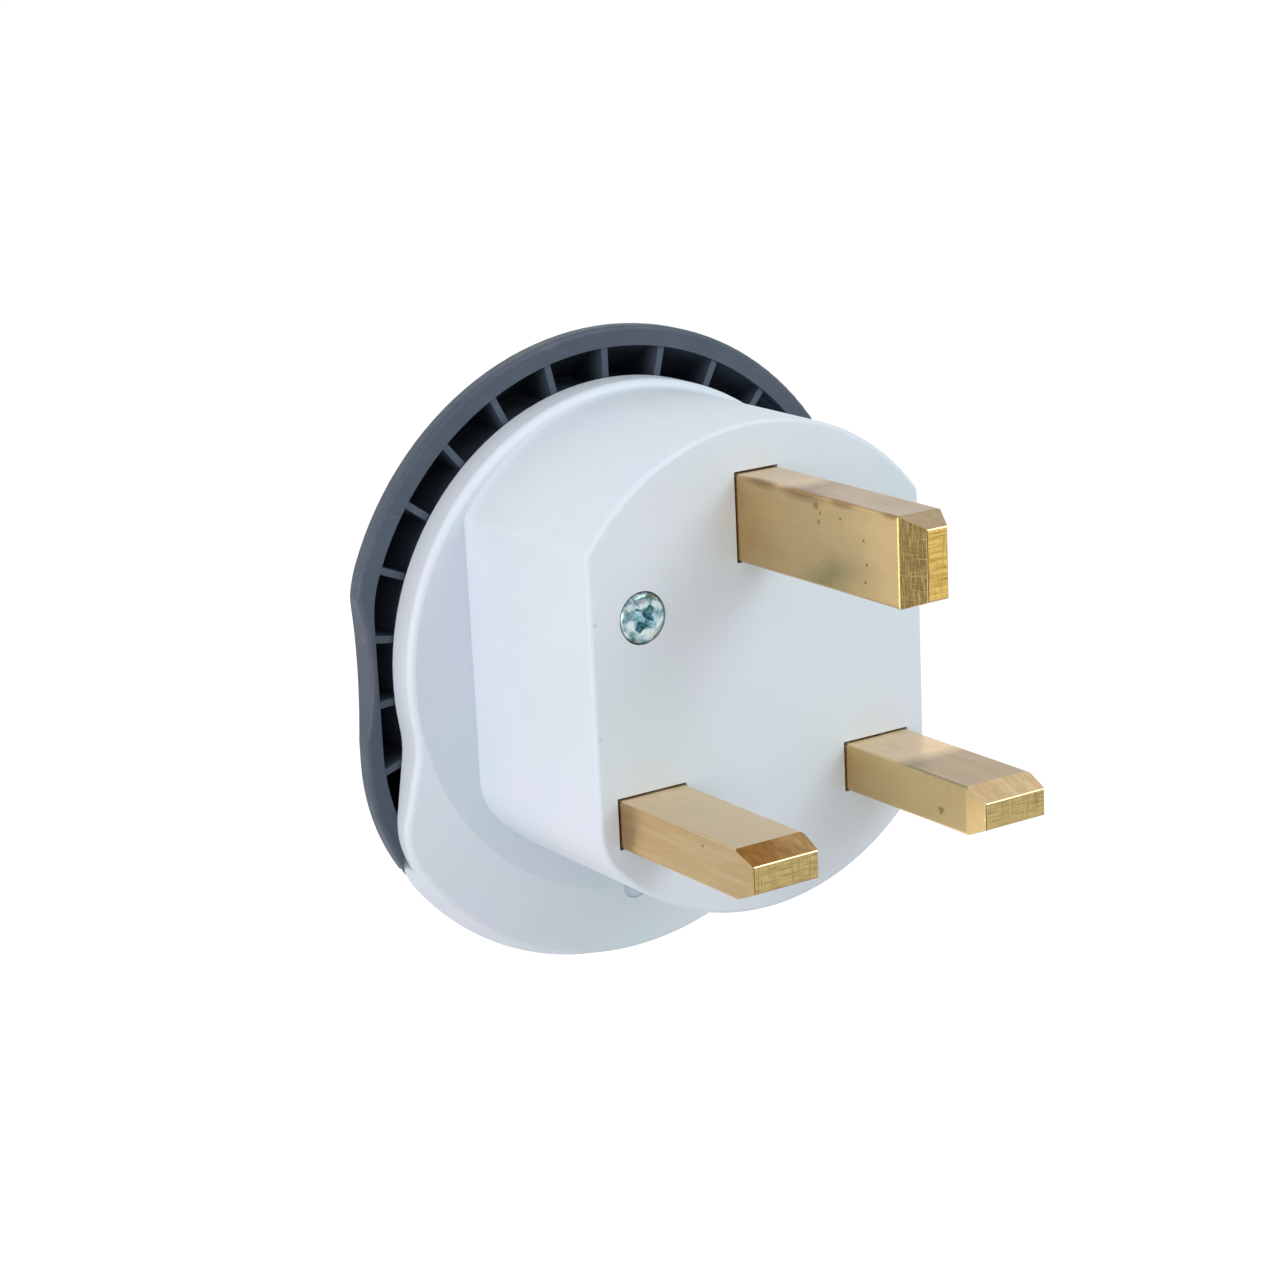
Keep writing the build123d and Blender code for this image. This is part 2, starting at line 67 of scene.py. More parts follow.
camera_data = bpy.data.cameras.new("camera")
camera_data.sensor_width = camera_film
camera_data.lens = camera_lens
camera_data.dof.use_dof = False
camera = bpy.data.objects.new("camera", camera_data)
bpy.context.scene.collection.objects.link(camera)
level = Euler((math.radians(90 - camera_elevation), 0, math.radians(camera_azimuth))).to_matrix()
roll = Matrix.Rotation(math.radians(-camera_roll), 3, "Z")
camera.matrix_world = Matrix.Translation(camera_place) @ (level @ roll).to_4x4()
camera_data.clip_start, camera_data.clip_end = nearest, furthest
bpy.context.scene.camera = camera
print("camera looks along", tuple(round(c, 3) for c in (level @ roll) @ Vector((0, 0, -1))))

# %% [markdown]
# ## A small kit for materials
# Every finish is a Principled shader with a few nodes in front of it. A handful of helpers keep the
# cells short. All patterns read Object coordinates, so they stay fixed to the part in metres, whatever
# the view, and sizes can be given in millimetres as on a drawing. Colours are written as linear red,
# green and blue, and a pattern is a mask from 0 to 1 that blends one colour into another.


# %% Helpers: a material and a node
def new_material(name, color, metallic=0.0, roughness=0.5, specular=0.5):
    """A material with its Principled shader set; returns the material, its node tree and the shader."""
    material = bpy.data.materials.new(name)
    material.use_nodes = True
    tree = material.node_tree
    shader = tree.nodes["Principled BSDF"]
    shader.inputs["Base Color"].default_value = (*color, 1)
    shader.inputs["Metallic"].default_value = metallic
    shader.inputs["Roughness"].default_value = roughness
    shader.inputs["Specular IOR Level"].default_value = specular
    return material, tree, shader


def add_node(tree, kind, **inputs):
    """A node of that kind, each input set to a number or joined to a socket."""
    node = tree.nodes.new(kind)
    for key, value in inputs.items():
        socket = node.inputs[key.replace("_", " ")]
        if isinstance(value, bpy.types.NodeSocket):
            tree.links.new(value, socket)
        else:
            socket.default_value = value
    return node


# %% Helpers: patterns
def noise(tree, size, stretch=(1, 1, 1), detail=2.0):
    """Soft noise, 0 to 1, with cells about that many millimetres wide, squeezed by the stretch."""
    place = tree.nodes.new("ShaderNodeTexCoord").outputs["Object"]
    scaled = add_node(tree, "ShaderNodeMapping", Vector=place, Scale=stretch)
    cloud = add_node(tree, "ShaderNodeTexNoise", Scale=1 / (size * MM), Detail=detail)
    tree.links.new(scaled.outputs["Vector"], cloud.inputs["Vector"])
    return cloud.outputs["Fac"]


def pits(tree, spacing, radius):
    """Small round pits strewn at random: 1 in a pit, 0 outside it."""
    place = tree.nodes.new("ShaderNodeTexCoord").outputs["Object"]
    cells = add_node(tree, "ShaderNodeTexVoronoi", Vector=place, Scale=1 / (spacing * MM))
    return spread(tree, cells.outputs["Distance"], radius / spacing, 0.6 * radius / spacing)


def spread(tree, value, low, high, to_low=0.0, to_high=1.0):
    """One range of a value laid over another, with nothing outside it."""
    node = add_node(tree, "ShaderNodeMapRange", Value=value, From_Min=low, From_Max=high,
                    To_Min=to_low, To_Max=to_high)
    return node.outputs["Result"]


def mark(tree, place, radius, length=1.0):
    """A soft mark at a place in millimetres, 1 in its middle; length stretches it along Y."""
    start = tree.nodes.new("ShaderNodeTexCoord").outputs["Object"]
    middle = Vector(place) * -MM
    moved = add_node(tree, "ShaderNodeMapping", Vector=start, Location=middle)
    squeezed = add_node(tree, "ShaderNodeMapping", Vector=moved.outputs["Vector"],
                        Scale=(1, 1 / length, 1))
    far = tree.nodes.new("ShaderNodeVectorMath")
    far.operation = "LENGTH"
    tree.links.new(squeezed.outputs["Vector"], far.inputs[0])
    return spread(tree, far.outputs["Value"], radius * MM, 0.35 * radius * MM)


def facing(tree, axis, low, high):
    """A mask by the surface's normal along an axis: 0 at the low value, 1 at the high one."""
    normal = tree.nodes.new("ShaderNodeTexCoord").outputs["Normal"]
    parts = add_node(tree, "ShaderNodeSeparateXYZ", Vector=normal)
    return spread(tree, parts.outputs[axis], low, high)


def along(tree, axis, low, high):
    """A mask that rises from 0 to 1 between two places along an axis, in millimetres."""
    place = tree.nodes.new("ShaderNodeTexCoord").outputs["Object"]
    parts = add_node(tree, "ShaderNodeSeparateXYZ", Vector=place)
    return spread(tree, parts.outputs[axis], low * MM, high * MM)


# %% Helpers: mixing, bumps and painting
def blend(tree, factor, first, second):
    """A colour between two, by a factor."""
    first, second = (c if isinstance(c, bpy.types.NodeSocket) else (*c, 1) for c in (first, second))
    return add_node(tree, "ShaderNodeMixRGB", Fac=factor, Color1=first, Color2=second).outputs["Color"]


def strongest(tree, masks):
    """The highest of several masks."""
    top = masks[0]
    for other in masks[1:]:
        node = tree.nodes.new("ShaderNodeMath")
        node.operation = "MAXIMUM"
        tree.links.new(top, node.inputs[0])
        tree.links.new(other, node.inputs[1])
        top = node.outputs[0]
    return top


def times(tree, first, second):
    """Two masks multiplied."""
    node = tree.nodes.new("ShaderNodeMath")
    node.operation = "MULTIPLY"
    tree.links.new(first, node.inputs[0])
    tree.links.new(second, node.inputs[1])
    return node.outputs[0]


def add_bump(tree, shader, height, depth, strength=1.0):
    """Presses a pattern that many millimetres into the surface, on top of the bumps already there."""
    bump = add_node(tree, "ShaderNodeBump", Height=height, Distance=depth * MM, Strength=strength)
    before = shader.inputs["Normal"].links
    if before:
        tree.links.new(before[0].from_socket, bump.inputs["Normal"])
    tree.links.new(bump.outputs["Normal"], shader.inputs["Normal"])


def join(tree, shader, **sockets):
    """Joins patterns to the shader's inputs."""
    for key, socket in sockets.items():
        tree.links.new(socket, shader.inputs[key.replace("_", " ")])


def paint(material, *names):
    """Gives CAD nodes their finish."""
    for name in names:
        nodes[name].data.materials.clear()
        nodes[name].data.materials.append(material)
    print("painted", ", ".join(names), "with", material.name)


# %% [markdown]
# ## White moulded plastic
# The plug block and its flange are one moulding in a cool white plastic with a satin skin. It isn't one
# even tone: large soft areas lean to blue or to green, the skin has a very fine grain, and a few small
# nicks sit on the edge of the pin face. Slow noise tints it, fast noise roughens it, and the nicks are
# marks at fixed places.

# %% White plastic: its colours and marks
plain_white = (0.62, 0.70, 0.78)
green_white = (0.615, 0.705, 0.760)
blue_white = (0.650, 0.698, 0.785)
clouded_white = (0.70, 0.76, 0.82)
nick_brown = (0.30, 0.28, 0.27)
speck_grey = (0.42, 0.40, 0.38)
nick_places = ((-15.7, 0.1, 16.4), (-15.7, 0.1, 7.2))
nick_radius = 0.28
speck_spacing, speck_radius = 7.0, 0.13
print("white plastic with", len(nick_places), "nicks")

# %% White plastic
white, tree, shader = new_material("white_plastic", plain_white, roughness=0.42)
tint = blend(tree, spread(tree, noise(tree, 14), 0.35, 0.65), green_white, blue_white)
clouds = spread(tree, noise(tree, 3, detail=4), 0.3, 0.7, 0, 0.12)
nicks = strongest(tree, [mark(tree, place, nick_radius) for place in nick_places])
specks = pits(tree, speck_spacing, speck_radius)
color = blend(tree, clouds, tint, clouded_white)
color = blend(tree, spread(tree, nicks, 0, 1, 0, 0.35), color, nick_brown)
color = blend(tree, spread(tree, specks, 0, 1, 0, 0.25), color, speck_grey)
skin = spread(tree, noise(tree, 2.2), 0.3, 0.7, 0.38, 0.50)
join(tree, shader, Base_Color=color, Roughness=skin)
add_bump(tree, shader, noise(tree, 0.22, detail=3), 0.004, 0.6)
add_bump(tree, shader, noise(tree, 4.5), 0.02, 0.5)
paint(white, "rear_shell")

# %% [markdown]
# ## Dark grey cover
# The cover is moulded in a blue-grey plastic with a fine matt grain, such as a spark-eroded tool leaves,
# and faint scuffs lighten it. Two sizes of noise press the grain, and stretched noise draws the scuffs.
# The pockets between the ribs look almost black in the photograph. Soft light alone doesn't make them
# that dark here, so a mask paints shade into them: a painted shade, not a colour of the plastic.

# %% Grey plastic: its colours
plain_grey = (0.05, 0.07, 0.10)
deep_grey = (0.044, 0.060, 0.088)
pale_grey = (0.060, 0.080, 0.112)
grain_grey = (0.10, 0.125, 0.165)
scuff_grey = (0.13, 0.155, 0.20)
pocket_painted_shade = (0.006, 0.009, 0.014)
print("grey plastic from", deep_grey, "to", pale_grey)

# %% Grey plastic: tone, grain and scuffs
grey, tree, shader = new_material("grey_plastic", plain_grey, roughness=0.5, specular=0.4)
tone = blend(tree, spread(tree, noise(tree, 5, detail=4), 0.3, 0.7), deep_grey, pale_grey)
grain = noise(tree, 0.16, detail=2)
tone = blend(tree, spread(tree, grain, 0.45, 0.75, 0, 0.35), tone, grain_grey)
scuffs = spread(tree, noise(tree, 1.1, stretch=(0.35, 4, 1.6), detail=6), 0.60, 0.76, 0, 0.22)
color = blend(tree, scuffs, tone, scuff_grey)

# %% [markdown]
# The painted shade goes into the pockets, which lie behind the rim's front edge. Most of their faces
# don't point away from the cover's axis, as its outside does, so the shade mask compares each face's
# normal with the direction outwards from that axis. It leaves out the faces that point back to the
# socket side, and it begins a little behind the rim's front edge.

# %% Grey plastic: painted shade in the pockets
cover_axis_z = 7.5
pocket_mouth_y, pocket_deep_y = 21.3, 23.0
outward = tree.nodes.new("ShaderNodeVectorMath")
outward.operation = "DOT_PRODUCT"
coordinates = tree.nodes.new("ShaderNodeTexCoord")
from_axis = add_node(tree, "ShaderNodeMapping", Vector=coordinates.outputs["Object"],
                     Location=(0, 0, -cover_axis_z * MM), Scale=(1, 0, 1))
radial = tree.nodes.new("ShaderNodeVectorMath")
radial.operation = "NORMALIZE"
tree.links.new(from_axis.outputs["Vector"], radial.inputs[0])
tree.links.new(radial.outputs["Vector"], outward.inputs[0])
tree.links.new(coordinates.outputs["Normal"], outward.inputs[1])
inward = spread(tree, outward.outputs["Value"], 0.35, 0.15)
pocket_shade_mask = times(tree, inward, facing(tree, "Y", 0.5, 0.2))
pocket_shade_mask = times(tree, pocket_shade_mask, along(tree, "Y", pocket_mouth_y, pocket_deep_y))
# Painted shade: the pockets are blended 72 percent towards near black.
color = blend(tree, spread(tree, pocket_shade_mask, 0, 1, 0, 0.72), color, pocket_painted_shade)
skin = spread(tree, noise(tree, 1.2), 0.3, 0.7, 0.42, 0.58)
join(tree, shader, Base_Color=color, Roughness=skin)
add_bump(tree, shader, grain, 0.02, 0.7)
add_bump(tree, shader, noise(tree, 0.5, detail=3), 0.02, 0.4)
paint(grey, "front_cover")

# %% [markdown]
# ## Brass pins
# The pins are cut from drawn brass bar, and drawing leaves long faint streaks along each pin. In the
# photograph every face of a pin has a tone of its own, much of it from what the brass reflects. Plain
# white surroundings don't give those tones, so they are painted reflections on top of the brass colour.
# One material serves all three pins. It tells the pins apart by their places, and tops and sides by the
# way they face. The sides are painted browner near the block, a painted reflection of the shaded base,
# and the tops of the earth and neutral pins are browner towards their ends.

# %% Brass: the colours of the drawn faces, with painted reflections
plain_brass = (0.55, 0.42, 0.22)
earth_side_reflection_tones = ((0.605, 0.425, 0.195), (0.695, 0.505, 0.250))
line_side_reflection_tones = ((0.400, 0.285, 0.145), (0.470, 0.345, 0.180))
neutral_side_reflection_tones = ((0.690, 0.490, 0.215), (0.775, 0.565, 0.260))
top_reflection_tones = ((0.760, 0.550, 0.320), (0.850, 0.640, 0.400))
outer_end_brown = (0.390, 0.288, 0.170)
root_reflection_brown = (0.500, 0.305, 0.120)
streak_gold = (0.68, 0.54, 0.34)
print("brass tones for", len((earth_side_reflection_tones, line_side_reflection_tones, neutral_side_reflection_tones)), "pins")

# %% Brass: the drawn faces
brass, tree, shader = new_material("pin_brass", plain_brass, metallic=1.0, roughness=0.30)
streaks = noise(tree, 0.45, stretch=(1, 0.04, 1), detail=5)
hazes = noise(tree, 4.0, stretch=(1, 0.45, 1), detail=3)
haze = spread(tree, hazes, 0.30, 0.70)
earth = along(tree, "Z", 14.0, 15.0)
right = along(tree, "X", -0.5, 0.5)
# Painted reflection: each pin's sides get tones of their own.
earth_side = blend(tree, haze, *earth_side_reflection_tones)
line_side = blend(tree, haze, *line_side_reflection_tones)
neutral_side = blend(tree, haze, *neutral_side_reflection_tones)
side = blend(tree, earth, blend(tree, right, line_side, neutral_side), earth_side)
outer_end = times(tree, along(tree, "Y", -6.2, -8.2), along(tree, "X", -6.0, -5.0))
top = blend(tree, outer_end, blend(tree, haze, *top_reflection_tones), outer_end_brown)
# Painted reflection: the sides darken towards a brown near the block.
near_block_reflection = spread(tree, along(tree, "Y", -9.0, 0.0), 0, 1, 0, 0.55)
side = blend(tree, near_block_reflection, side, root_reflection_brown)
# Painted reflection: tops and sides get their own tones by the way they face.
metal = blend(tree, facing(tree, "Z", 0.4, 0.9), side, top)
metal = blend(tree, spread(tree, streaks, 0.42, 0.70, 0, 0.20), metal, streak_gold)

# %% [markdown]
# Brown stains show near the edges, and a few small pits. The stains and pits that can be told apart in
# the photograph are marks at fixed places, and the rest is strewn.

# %% Brass: places of the stains and pits, in millimetres
stains = (
    ((-2.0, -10.4, 25.4), 0.50, 1.0), ((-2.0, -8.6, 26.1), 0.9, 4.5),
    ((-2.0, -13.6, 26.1), 0.6, 4.0), ((-2.0, -3.5, 26.1), 0.7, 4.0),
    ((-2.0, -19.5, 26.1), 0.4, 4.0), ((-2.0, -10.7, 24.1), 0.25, 1.0),
    ((-2.0, -10.9, 24.8), 0.20, 1.0), ((7.92, -12.3, -0.6), 0.30, 1.8),
)
pit_places = (
    (-2.0, -13.4, 24.8), (-2.0, -16.2, 23.6), (-2.0, -16.5, 21.8), (-2.0, -16.3, 20.4),
    (-0.4, -18.9, 26.15), (-0.1, -2.0, 26.15), (-14.27, -11.3, 1.2), (7.92, -12.3, -0.9),
)
pit_radius = 0.17
haze_brown = (0.30, 0.19, 0.09)
stain_brown = (0.26, 0.145, 0.062)
pit_brown = (0.120, 0.075, 0.040)
print(len(stains), "stains and", len(pit_places), "pits placed")

# %% Brass: stains and pits
blotches = spread(tree, noise(tree, 1.6, detail=5), 0.50, 0.72)
haze_stain = times(tree, blotches, spread(tree, hazes, 0.45, 0.75))
metal = blend(tree, spread(tree, haze_stain, 0, 1, 0, 0.25), metal, haze_brown)
stain = strongest(tree, [mark(tree, place, radius, length) for place, radius, length in stains])
metal = blend(tree, spread(tree, stain, 0, 1, 0, 0.7), metal, stain_brown)
placed_pits = [mark(tree, place, pit_radius) for place in pit_places]
pitted = strongest(tree, placed_pits + [pits(tree, 5.5, 0.09)])
metal = blend(tree, spread(tree, pitted, 0, 1, 0, 0.8), metal, pit_brown)

# %% [markdown]
# The tips were milled. The earth pin's side slopes are dark and crossed by a fine hatch, the slopes of
# the lower pins are smoother, the end faces are yellower, and the ridges between them are dark. The
# tones of the slopes and ends are set face by face, like those of the drawn faces, so they are partly
# painted reflection. The bright line on the upper ridges, and the thin one where the earth pin's slopes
# start, are painted highlights that stand for the glints of the real edges. The hatch is two noises, one
# stretched upright and one level. How far a face's normal turns towards -Y tells slopes, ridges and ends
# apart.

# %% Brass: the colours of the milled tips, with painted reflections and highlights
hatched_slope_reflection_tones = ((0.095, 0.066, 0.024), (0.240, 0.180, 0.078))
line_slope_reflection_tones = ((0.350, 0.212, 0.085), (0.500, 0.325, 0.145))
neutral_slope_reflection_tones = ((0.560, 0.400, 0.210), (0.680, 0.520, 0.310))
earth_end_reflection_tones = ((0.660, 0.450, 0.130), (0.360, 0.225, 0.055))
flat_end_reflection_tones = ((0.460, 0.345, 0.145), (0.235, 0.168, 0.064))
ridge_brown = (0.17, 0.105, 0.035)
ridge_glint_gold = (0.98, 0.78, 0.40)
slope_start_glint_gold = (0.74, 0.52, 0.20)
slope_start_y = (-20.22, -20.28, -20.36, -20.42)
print("slopes start at y", slope_start_y[1], "mm")

# %% Brass: masks of the milled tips
upright = noise(tree, 0.07, stretch=(1, 1, 0.05), detail=3)
level_lines = noise(tree, 0.09, stretch=(0.05, 0.05, 1), detail=3)
hatch = strongest(tree, [spread(tree, upright, 0.46, 0.70),
                         spread(tree, level_lines, 0.53, 0.74, 0, 0.7)])
end_hatch = strongest(tree, [spread(tree, upright, 0.50, 0.72),
                             spread(tree, level_lines, 0.47, 0.68)])
leaning = strongest(tree, [facing(tree, "X", 0.2, 0.3), facing(tree, "X", -0.2, -0.3)])
sideways = strongest(tree, [facing(tree, "X", 0.5, 0.7), facing(tree, "X", -0.5, -0.7)])
slope = times(tree, facing(tree, "Y", -0.15, -0.30), facing(tree, "Y", -0.62, -0.48))
side_slope = times(tree, slope, leaning)
flat_slope = times(tree, slope, along(tree, "Z", 14.0, 13.0))
end = facing(tree, "Y", -0.86, -0.96)
ridge = times(tree, facing(tree, "Y", -0.56, -0.66), facing(tree, "Y", -0.93, -0.85))
# Painted highlight: the upper ridges get a bright glint.
upper_ridge_glint = times(tree, ridge, facing(tree, "Z", 0.15, 0.35))
# Painted highlight: a thin glint where the earth pin's slopes start.
slope_start = times(tree, along(tree, "Y", slope_start_y[0], slope_start_y[1]),
                    along(tree, "Y", slope_start_y[3], slope_start_y[2]))
slope_start = times(tree, times(tree, slope_start, sideways), earth)

# %% Brass: the milled tips
drawn_grain = spread(tree, streaks, 0.35, 0.65)
lower_slope = blend(tree, right, blend(tree, drawn_grain, *line_slope_reflection_tones),
                    blend(tree, drawn_grain, *neutral_slope_reflection_tones))
end_color = blend(tree, earth, blend(tree, end_hatch, *flat_end_reflection_tones),
                  blend(tree, end_hatch, *earth_end_reflection_tones))
# Partly painted reflection: slopes and ends get tones of their own.
metal = blend(tree, side_slope, metal, blend(tree, hatch, *hatched_slope_reflection_tones))
metal = blend(tree, flat_slope, metal, lower_slope)
metal = blend(tree, end, metal, end_color)
metal = blend(tree, ridge, metal, ridge_brown)
# Painted highlights: the glints on the upper ridges and at the slope start.
metal = blend(tree, upper_ridge_glint, metal, ridge_glint_gold)
metal = blend(tree, slope_start, metal, slope_start_glint_gold)
join(tree, shader, Base_Color=metal, Roughness=spread(tree, hazes, 0.3, 0.7, 0.20, 0.32))
add_bump(tree, shader, streaks, 0.004, 0.4)
add_bump(tree, shader, times(tree, hatch, strongest(tree, [side_slope, end])), 0.012, 0.6)
paint(brass, "line_pin", "neutral_pin", "earth_pin")

# %% [markdown]
# ## The parts inside
# Through the openings of the cover the strip contacts can be seen, and in a section also the carrier
# plate and the fuse. The photograph shows none of them, so they get the usual finishes: rolled brass
# strip that is brighter and smoother than the pins, a dry dark plastic for the carrier, and a glazed
# tube with nickel caps for the fuse.

# %% Colours of the parts inside
plain_strip = (0.66, 0.49, 0.25)
rolled_tones = ((0.60, 0.44, 0.21), (0.72, 0.55, 0.30))
tarnish_brown = (0.36, 0.22, 0.11)
plain_carrier = (0.02, 0.02, 0.024)
carrier_tones = ((0.016, 0.016, 0.019), (0.030, 0.030, 0.034))
plain_ceramic = (0.80, 0.77, 0.70)
glaze_tones = ((0.76, 0.73, 0.66), (0.83, 0.80, 0.74))
glaze_pit_grey = (0.35, 0.32, 0.28)
plain_nickel = (0.68, 0.66, 0.62)
turned_tones = ((0.60, 0.58, 0.54), (0.74, 0.72, 0.68))
print("colours set for four materials inside")

# %% Contact strip
strip, tree, shader = new_material("contact_strip", plain_strip, metallic=1.0, roughness=0.28)
rolled = noise(tree, 0.5, stretch=(0.08, 1, 1), detail=4)
color = blend(tree, spread(tree, rolled, 0.35, 0.65), *rolled_tones)
tarnish = spread(tree, noise(tree, 3.0, detail=4), 0.55, 0.75, 0, 0.5)
join(tree, shader, Base_Color=blend(tree, tarnish, color, tarnish_brown))
add_bump(tree, shader, rolled, 0.005, 0.5)
paint(strip, "line_contact", "neutral_contact", "earth_contact", "fuse_clip_lower", "fuse_clip_upper",
      "contact_rivet")

# %% Carrier plate
carrier, tree, shader = new_material("carrier_plastic", plain_carrier, roughness=0.6)
color = blend(tree, spread(tree, noise(tree, 1.5, detail=4), 0.3, 0.7), *carrier_tones)
join(tree, shader, Base_Color=color)
add_bump(tree, shader, noise(tree, 0.2), 0.02, 0.6)
paint(carrier, "contact_carrier")

# %% Fuse
ceramic, tree, shader = new_material("fuse_ceramic", plain_ceramic, roughness=0.22)
color = blend(tree, spread(tree, noise(tree, 2.0, detail=3), 0.3, 0.7), *glaze_tones)
color = blend(tree, spread(tree, pits(tree, 3.0, 0.12), 0, 1, 0, 0.5), color, glaze_pit_grey)
join(tree, shader, Base_Color=color)
add_bump(tree, shader, noise(tree, 1.0), 0.01, 0.4)
paint(ceramic, "fuse_tube")

nickel, tree, shader = new_material("fuse_cap_nickel", plain_nickel, metallic=1.0, roughness=0.25)
turned = noise(tree, 0.4, stretch=(1, 1, 0.06), detail=4)
color = blend(tree, spread(tree, turned, 0.35, 0.65), *turned_tones)
join(tree, shader, Base_Color=color, Roughness=spread(tree, turned, 0.3, 0.7, 0.20, 0.34))
paint(nickel, "fuse_caps")

# %% [markdown]
# ## The cover screws
# Two small plated screws hold the mouldings together from the pin side. The photograph shows one, and
# the other would stand behind the earth pin. Such a screw is a cold-headed wire: a low domed head with a
# punched cross recess, and a thread rolled on the shank. The model follows the same order. A cylinder is
# grown into a stepped shank by extruding rings, the head's top is raised to a dome and its edge
# bevelled, and a tapered cross is punched out with a boolean. One screw is modelled and the other is a
# copy turned a little further, as real ones end up.

# %% Sizes of the screw, in millimetres and degrees
screw_places = ((-11.27, 16.2), (11.27, 16.2))
screw_turns = (0, 25)
screw_sides = 64
head_radius = 2.13
head_seat = 1.2
head_top = -0.3
dome_height = 0.22
dome_rings = ((0.42, 0.62), (0.55, 0.38))
rim_rounding = 0.44
shank_radius = 1.15
shank_core_radius = 0.90
shank_end = 21.2
plain_shank = 5.0
point_collar, point_length, point_scale = 0.5, 1.0, 0.25
thread_pitch = 1.0
crest, flank_in, root, flank_out = 0.12, 0.30, 0.16, 0.42
print("screw heads at", screw_places)

# %% [markdown]
# Edit mode works on what is selected, so a few helpers open a piece with nothing selected and then
# select faces by where they are and how they face, as one would click them by hand.


# %% Helpers for edit mode
def start_edit(obj):
    """Only this object is selected and open in edit mode, with nothing selected in it."""
    bpy.ops.object.select_all(action="DESELECT")
    obj.select_set(True)
    bpy.context.view_layer.objects.active = obj
    bpy.ops.object.mode_set(mode="EDIT")
    bpy.ops.mesh.select_all(action="DESELECT")


def select_faces(obj, test):
    """Selects the faces whose middle and normal pass the test; returns how many."""
    bpy.ops.mesh.select_all(action="DESELECT")
    bpy.ops.mesh.select_mode(type="FACE")
    mesh = bmesh.from_edit_mesh(obj.data)
    for face in mesh.faces:
        face.select_set(test(face.calc_center_median(), face.normal))
    bmesh.update_edit_mesh(obj.data)
    return sum(face.select for face in mesh.faces)


def select_edges(obj, test):
    """Selects the edges whose two ends pass the test; returns how many."""
    bpy.ops.mesh.select_all(action="DESELECT")
    bpy.ops.mesh.select_mode(type="EDGE")
    mesh = bmesh.from_edit_mesh(obj.data)
    for edge in mesh.edges:
        edge.select_set(test(edge.verts[0].co) and test(edge.verts[1].co))
    bmesh.update_edit_mesh(obj.data)
    return sum(edge.select for edge in mesh.edges)


def looks_up(middle, normal):
    """A face whose normal is close to +Z."""
    return normal.z > 0.9


def looks_down(middle, normal):
    """A face whose normal is close to -Z."""
    return normal.z < -0.9


def grow(amount, scale=1.0):
    """Extrudes the selected cap along +Z by millimetres and scales it about its own middle."""
    bpy.ops.mesh.extrude_region_move(TRANSFORM_OT_translate={"value": (0, 0, amount * MM)})
    if scale != 1.0:
        bpy.ops.transform.resize(value=(scale, scale, 1))


# %% Model the screw's shank upright, from its seat at z = 0
head_height = head_seat - head_top - dome_height
bpy.ops.mesh.primitive_cylinder_add(vertices=screw_sides, radius=head_radius * MM,
                                    depth=head_height * MM,
                                    location=(0, 0, -head_height / 2 * MM))
screw = bpy.context.object
screw.name = "cross_screw_a"
bpy.ops.object.transform_apply(location=True, rotation=True, scale=True)
start_edit(screw)
select_faces(screw, looks_up)
bpy.ops.mesh.inset(thickness=(head_radius - shank_radius) * MM)
grow(plain_shank)
threaded = shank_end - head_seat - plain_shank - point_collar - point_length
turns = int(threaded / thread_pitch)
narrow = shank_core_radius / shank_radius
for turn in range(turns):
    grow(crest * thread_pitch)
    grow(flank_in * thread_pitch, narrow)
    grow(root * thread_pitch)
    grow(flank_out * thread_pitch, 1 / narrow)
grow(point_collar, narrow)
grow(point_length, point_scale)
print("shank with", turns, "thread rings")

# %% Raise and round the head
select_faces(screw, looks_down)
for inset, share in dome_rings:
    bpy.ops.mesh.inset(thickness=inset * MM)
    bpy.ops.transform.translate(value=(0, 0, -share * dome_height * MM))
tolerance = 0.01
rim_height = -(head_height - tolerance) * MM
rim_reach = (head_radius - tolerance) * MM
rims = select_edges(screw, lambda place: place.z < rim_height and place.xy.length > rim_reach)
bpy.ops.mesh.bevel(offset=rim_rounding * MM, segments=6, profile=0.5)
bpy.ops.object.mode_set(mode="OBJECT")
print("head with", rims, "rim edges, screw with", len(screw.data.polygons), "faces")

# %% [markdown]
# The recess is punched, as on the real screw. The punch is a square block from which four tapered arms
# are extruded, each in two steps that get narrower. The face that cuts the recess's floor is drawn in,
# so that the arms slope towards the middle, and a boolean takes the punch out of the head. A small
# bevel then softens every sharp edge.

# %% Sizes of the punch, in millimetres and degrees
recess_turn = 38
recess_depth = 0.95
punch_width, punch_height = 1.20, 1.6
arm_steps = ((0.42, 0.72), (0.45, 0.86))
floor_share = 0.50
soft_edge = 0.05
sharp_angle = 38
print("recess", recess_depth, "mm deep")

# %% Model the punch
bpy.ops.mesh.primitive_cube_add(size=1, location=(0, 0, 0))
punch = bpy.context.object
punch.scale = (punch_width * MM, punch_width * MM, punch_height * MM)
bpy.ops.object.transform_apply(location=True, rotation=True, scale=True)
start_edit(punch)
reach_tolerance = 0.02 * MM
for reach, width in arm_steps:
    for axis, sign in ((0, 1), (0, -1), (1, 1), (1, -1)):
        vertices = bmesh.from_edit_mesh(punch.data).verts
        tip = max(sign * vertex.co[axis] for vertex in vertices)
        select_faces(punch, lambda middle, normal: sign * normal[axis] > 0.7
                     and sign * middle[axis] > tip - reach_tolerance)
        step = [0, 0, 0]
        step[axis] = sign * reach * MM
        bpy.ops.mesh.extrude_region_move(TRANSFORM_OT_translate={"value": step})
        across = (1, width, 1) if axis == 0 else (width, 1, 1)
        bpy.ops.transform.resize(value=across)
select_faces(punch, looks_up)
bpy.ops.transform.resize(value=(floor_share, floor_share, 1))
bpy.ops.object.mode_set(mode="OBJECT")
recess_floor = -(head_seat - head_top) + recess_depth
punch.data.transform(Matrix.Rotation(math.radians(recess_turn), 4, "Z"))
